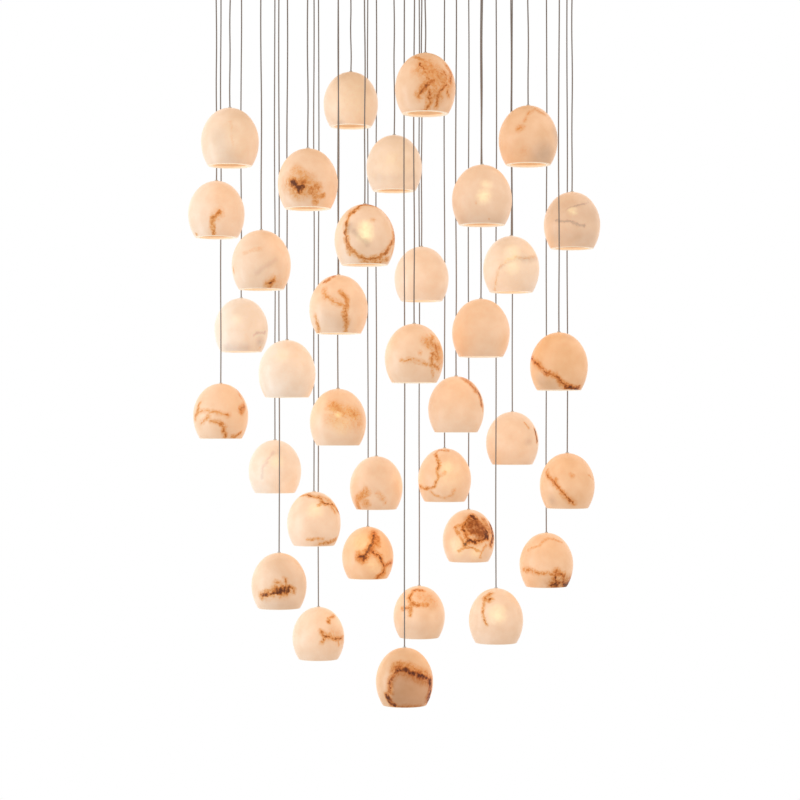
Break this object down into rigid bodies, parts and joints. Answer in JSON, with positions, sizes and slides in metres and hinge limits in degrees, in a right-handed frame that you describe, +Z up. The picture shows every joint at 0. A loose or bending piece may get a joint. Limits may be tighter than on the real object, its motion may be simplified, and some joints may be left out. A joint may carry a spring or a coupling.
{
  "type": "cluster pendant light",
  "caption": "Open-mouthed alabaster globes with lamps inside hang at staggered heights on taut cords from one round ceiling canopy.",
  "frame": {"origin": "centre of the ceiling plate's top face, on the ceiling", "axes": "+Z up into the ceiling, +X to the viewer's right and +Y away from the viewer of the picture"},
  "size_m": [0.9525, 0.9526, 1.8108],
  "materials": {
    "alabaster": "polished translucent alabaster with brown veins",
    "canopy_finish": "satin bronze",
    "steel": "zinc-plated",
    "brass": "turned",
    "cord": "woven sleeve",
    "white_plastic": "moulded",
    "board": "coated laminate",
    "driver_case": "moulded",
    "rubber": "matte"
  },
  "bodies": {
    "canopy": {"ceiling_plate": "steel", "canopy_pan": "canopy_finish", "hanger_studs": "steel", "stud_lock_nuts": "steel", "cap_nuts": "canopy_finish", "cord_grips": "canopy_finish", "grip_lock_nuts": "steel", "cord_tails": "cord", "cord_connectors": "white_plastic", "bus_hub": "board", "bus_ring_inner": "board", "bus_ring_middle": "board", "bus_ring_outer": "board", "bus_links": "board", "led_driver_1": "driver_case", "led_driver_2": "driver_case", "led_driver_3": "driver_case", "driver_screws": "steel", "driver_output_pins": "brass", "mains_terminal": "white_plastic", "terminal_screws": "steel", "earth_screw": "brass", "supply_grommet": "rubber"},
    "pendant_01": {"pendant_01": "alabaster"},
    "pendant_02": {"pendant_02": "alabaster"},
    "pendant_03": {"pendant_03": "alabaster"},
    "pendant_04": {"pendant_04": "alabaster"},
    "pendant_05": {"pendant_05": "alabaster"},
    "pendant_06": {"pendant_06": "alabaster"},
    "pendant_07": {"pendant_07": "alabaster"},
    "pendant_08": {"pendant_08": "alabaster"},
    "pendant_09": {"pendant_09": "alabaster"},
    "pendant_10": {"pendant_10": "alabaster"},
    "pendant_11": {"pendant_11": "alabaster"},
    "pendant_12": {"pendant_12": "alabaster"},
    "pendant_13": {"pendant_13": "alabaster"},
    "pendant_14": {"pendant_14": "alabaster"},
    "pendant_15": {"pendant_15": "alabaster"},
    "pendant_16": {"pendant_16": "alabaster"},
    "pendant_17": {"pendant_17": "alabaster"},
    "pendant_18": {"pendant_18": "alabaster"},
    "pendant_19": {"pendant_19": "alabaster"},
    "pendant_20": {"pendant_20": "alabaster"},
    "pendant_21": {"pendant_21": "alabaster"},
    "pendant_22": {"pendant_22": "alabaster"},
    "pendant_23": {"pendant_23": "alabaster"},
    "pendant_24": {"pendant_24": "alabaster"},
    "pendant_25": {"pendant_25": "alabaster"},
    "pendant_26": {"pendant_26": "alabaster"},
    "pendant_27": {"pendant_27": "alabaster"},
    "pendant_28": {"pendant_28": "alabaster"},
    "pendant_29": {"pendant_29": "alabaster"},
    "pendant_30": {"pendant_30": "alabaster"},
    "pendant_31": {"pendant_31": "alabaster"},
    "pendant_32": {"pendant_32": "alabaster"},
    "pendant_33": {"pendant_33": "alabaster"},
    "pendant_34": {"pendant_34": "alabaster"},
    "pendant_35": {"pendant_35": "alabaster"},
    "pendant_36": {"pendant_36": "alabaster"}
  },
  "joints": [
    {"name": "sway_01", "type": "hinge", "parent": "canopy", "child": "pendant_01", "pos_m": [0, 0, -0.061], "axis": [1, 0, 0], "range_deg": [-4.49, 4.49]},
    {"name": "sway_02", "type": "hinge", "parent": "canopy", "child": "pendant_02", "pos_m": [-0.12962, -0.06719, -0.061], "axis": [1, 0, 0], "range_deg": [-2.07, 2.07]},
    {"name": "sway_03", "type": "hinge", "parent": "canopy", "child": "pendant_03", "pos_m": [0.02385, -0.14404, -0.061], "axis": [1, 0, 0], "range_deg": [-1.35, 1.35]},
    {"name": "sway_04", "type": "hinge", "parent": "canopy", "child": "pendant_04", "pos_m": [0.14436, -0.02183, -0.061], "axis": [1, 0, 0], "range_deg": [-2.13, 2.13]},
    {"name": "sway_05", "type": "hinge", "parent": "canopy", "child": "pendant_05", "pos_m": [0.06537, 0.13055, -0.061], "axis": [1, 0, 0], "range_deg": [-3.01, 3.01]},
    {"name": "sway_06", "type": "hinge", "parent": "canopy", "child": "pendant_06", "pos_m": [-0.10396, 0.10251, -0.061], "axis": [1, 0, 0], "range_deg": [-6.62, 6.62]},
    {"name": "sway_07", "type": "hinge", "parent": "canopy", "child": "pendant_07", "pos_m": [-0.24415, -0.12656, -0.061], "axis": [1, 0, 0], "range_deg": [-2.3, 2.3]},
    {"name": "sway_08", "type": "hinge", "parent": "canopy", "child": "pendant_08", "pos_m": [-0.12313, -0.24589, -0.061], "axis": [1, 0, 0], "range_deg": [-2.68, 2.68]},
    {"name": "sway_09", "type": "hinge", "parent": "canopy", "child": "pendant_09", "pos_m": [0.04491, -0.27131, -0.061], "axis": [1, 0, 0], "range_deg": [-2.37, 2.37]},
    {"name": "sway_10", "type": "hinge", "parent": "canopy", "child": "pendant_10", "pos_m": [0.19581, -0.19309, -0.061], "axis": [1, 0, 0], "range_deg": [-2.53, 2.53]},
    {"name": "sway_11", "type": "hinge", "parent": "canopy", "child": "pendant_11", "pos_m": [0.27191, -0.04112, -0.061], "axis": [1, 0, 0], "range_deg": [-3.05, 3.05]},
    {"name": "sway_12", "type": "hinge", "parent": "canopy", "child": "pendant_12", "pos_m": [0.24415, 0.12656, -0.061], "axis": [1, 0, 0], "range_deg": [-1.45, 1.45]},
    {"name": "sway_13", "type": "hinge", "parent": "canopy", "child": "pendant_13", "pos_m": [0.12313, 0.24589, -0.061], "axis": [1, 0, 0], "range_deg": [-1.84, 1.84]},
    {"name": "sway_14", "type": "hinge", "parent": "canopy", "child": "pendant_14", "pos_m": [-0.04491, 0.27131, -0.061], "axis": [1, 0, 0], "range_deg": [-1.81, 1.81]},
    {"name": "sway_15", "type": "hinge", "parent": "canopy", "child": "pendant_15", "pos_m": [-0.19581, 0.19309, -0.061], "axis": [1, 0, 0], "range_deg": [-1.7, 1.7]},
    {"name": "sway_16", "type": "hinge", "parent": "canopy", "child": "pendant_16", "pos_m": [-0.27191, 0.04112, -0.061], "axis": [1, 0, 0], "range_deg": [-1.54, 1.54]},
    {"name": "sway_17", "type": "hinge", "parent": "canopy", "child": "pendant_17", "pos_m": [-0.36933, -0.19144, -0.061], "axis": [1, 0, 0], "range_deg": [-4.82, 4.82]},
    {"name": "sway_18", "type": "hinge", "parent": "canopy", "child": "pendant_18", "pos_m": [-0.2921, -0.2962, -0.061], "axis": [1, 0, 0], "range_deg": [-3.01, 3.01]},
    {"name": "sway_19", "type": "hinge", "parent": "canopy", "child": "pendant_19", "pos_m": [-0.18627, -0.37197, -0.061], "axis": [1, 0, 0], "range_deg": [-3.88, 3.88]},
    {"name": "sway_20", "type": "hinge", "parent": "canopy", "child": "pendant_20", "pos_m": [-0.06221, -0.41132, -0.061], "axis": [1, 0, 0], "range_deg": [-3.2, 3.2]},
    {"name": "sway_21", "type": "hinge", "parent": "canopy", "child": "pendant_21", "pos_m": [0.06794, -0.41041, -0.061], "axis": [1, 0, 0], "range_deg": [-5.86, 5.86]},
    {"name": "sway_22", "type": "hinge", "parent": "canopy", "child": "pendant_22", "pos_m": [0.19144, -0.36933, -0.061], "axis": [1, 0, 0], "range_deg": [-3.66, 3.66]},
    {"name": "sway_23", "type": "hinge", "parent": "canopy", "child": "pendant_23", "pos_m": [0.2962, -0.2921, -0.061], "axis": [1, 0, 0], "range_deg": [-4.72, 4.72]},
    {"name": "sway_24", "type": "hinge", "parent": "canopy", "child": "pendant_24", "pos_m": [0.37197, -0.18627, -0.061], "axis": [1, 0, 0], "range_deg": [-2.34, 2.34]},
    {"name": "sway_25", "type": "hinge", "parent": "canopy", "child": "pendant_25", "pos_m": [0.41132, -0.06221, -0.061], "axis": [1, 0, 0], "range_deg": [-3.52, 3.52]},
    {"name": "sway_26", "type": "hinge", "parent": "canopy", "child": "pendant_26", "pos_m": [0.41041, 0.06794, -0.061], "axis": [1, 0, 0], "range_deg": [-1.83, 1.83]},
    {"name": "sway_27", "type": "hinge", "parent": "canopy", "child": "pendant_27", "pos_m": [0.36933, 0.19144, -0.061], "axis": [1, 0, 0], "range_deg": [-1.58, 1.58]},
    {"name": "sway_28", "type": "hinge", "parent": "canopy", "child": "pendant_28", "pos_m": [0.2921, 0.2962, -0.061], "axis": [1, 0, 0], "range_deg": [-1.98, 1.98]},
    {"name": "sway_29", "type": "hinge", "parent": "canopy", "child": "pendant_29", "pos_m": [0.18627, 0.37197, -0.061], "axis": [1, 0, 0], "range_deg": [-1.64, 1.64]},
    {"name": "sway_30", "type": "hinge", "parent": "canopy", "child": "pendant_30", "pos_m": [0.06221, 0.41132, -0.061], "axis": [1, 0, 0], "range_deg": [-1.44, 1.44]},
    {"name": "sway_31", "type": "hinge", "parent": "canopy", "child": "pendant_31", "pos_m": [-0.06794, 0.41041, -0.061], "axis": [1, 0, 0], "range_deg": [-1.59, 1.59]},
    {"name": "sway_32", "type": "hinge", "parent": "canopy", "child": "pendant_32", "pos_m": [-0.19144, 0.36933, -0.061], "axis": [1, 0, 0], "range_deg": [-1.39, 1.39]},
    {"name": "sway_33", "type": "hinge", "parent": "canopy", "child": "pendant_33", "pos_m": [-0.2962, 0.2921, -0.061], "axis": [1, 0, 0], "range_deg": [-1.87, 1.87]},
    {"name": "sway_34", "type": "hinge", "parent": "canopy", "child": "pendant_34", "pos_m": [-0.37197, 0.18627, -0.061], "axis": [1, 0, 0], "range_deg": [-2.6, 2.6]},
    {"name": "sway_35", "type": "hinge", "parent": "canopy", "child": "pendant_35", "pos_m": [-0.41132, 0.06221, -0.061], "axis": [1, 0, 0], "range_deg": [-2.1, 2.1]},
    {"name": "sway_36", "type": "hinge", "parent": "canopy", "child": "pendant_36", "pos_m": [-0.41041, -0.06794, -0.061], "axis": [1, 0, 0], "range_deg": [-3.66, 3.66]}
  ]
}
